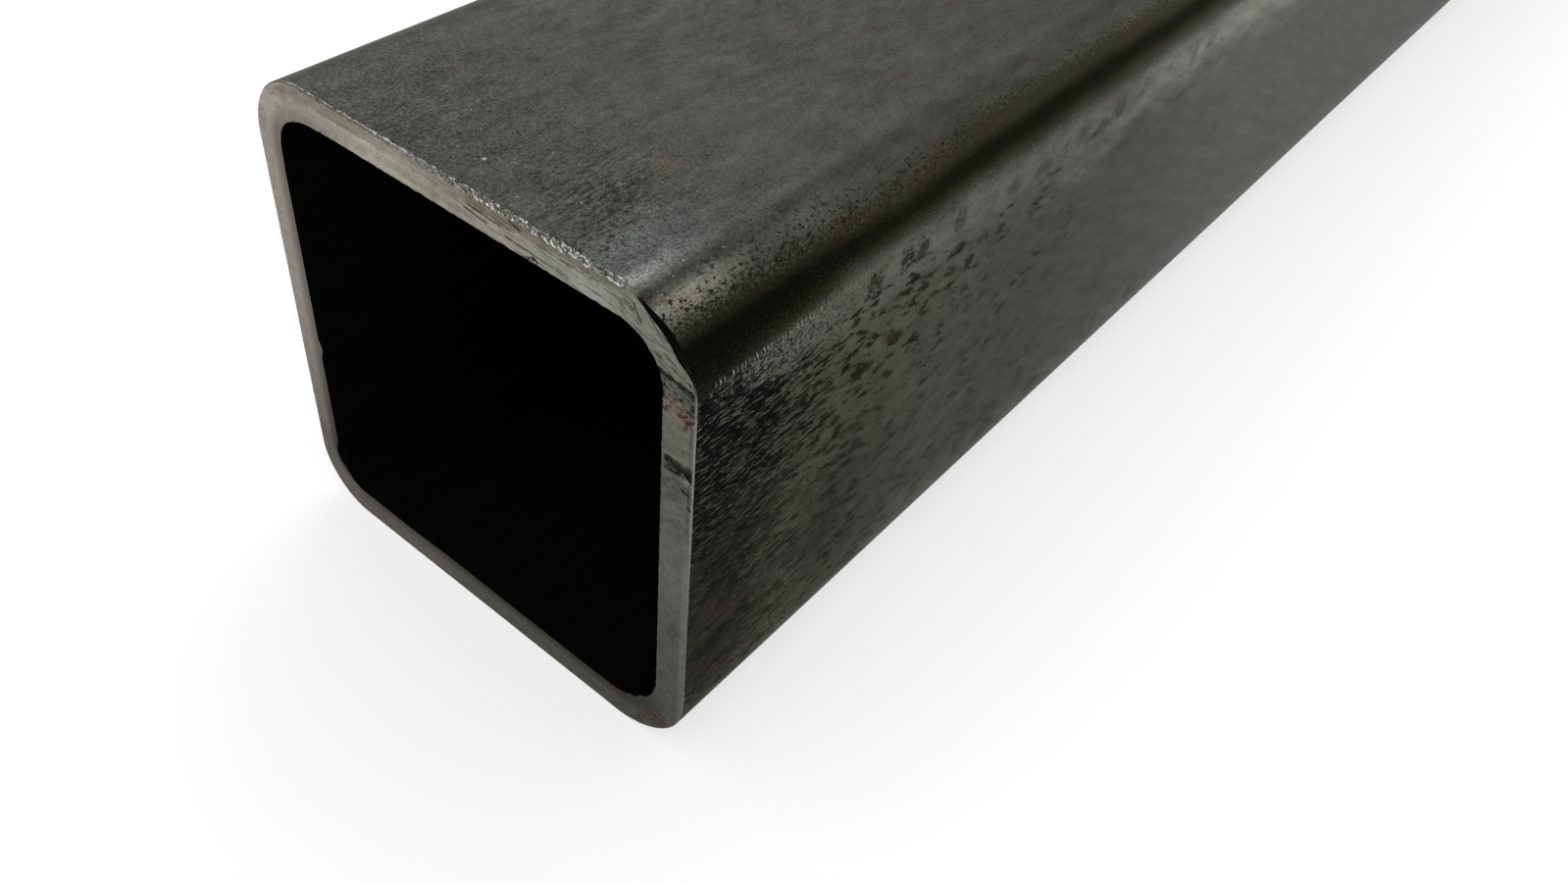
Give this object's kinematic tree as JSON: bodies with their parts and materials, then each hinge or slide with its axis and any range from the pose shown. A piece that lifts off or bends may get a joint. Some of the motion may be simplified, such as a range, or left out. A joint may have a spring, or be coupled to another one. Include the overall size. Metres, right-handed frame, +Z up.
{
  "type": "square metal tube",
  "caption": "Straight square steel tube with rounded corners, an even wall, an open bore with a low inside weld bead, and sawn ends with lightly broken outer edges.",
  "frame": {"origin": "on the floor plane, under the middle of the tube", "axes": "+Y along the tube, from the sawn end with the marker stain to the other end; +X across its width, with the inside weld bead on the -X wall; +Z up from the flat underside"},
  "size_m": [0.0508, 0.3048, 0.0508],
  "materials": {
    "mill_steel": "dark grey mill scale with lengthwise streaks, small pits and faint brown rust; bare bright steel on the sawn ends"
  },
  "bodies": {
    "root": {"square_tube": "mill_steel"}
  },
  "joints": []
}
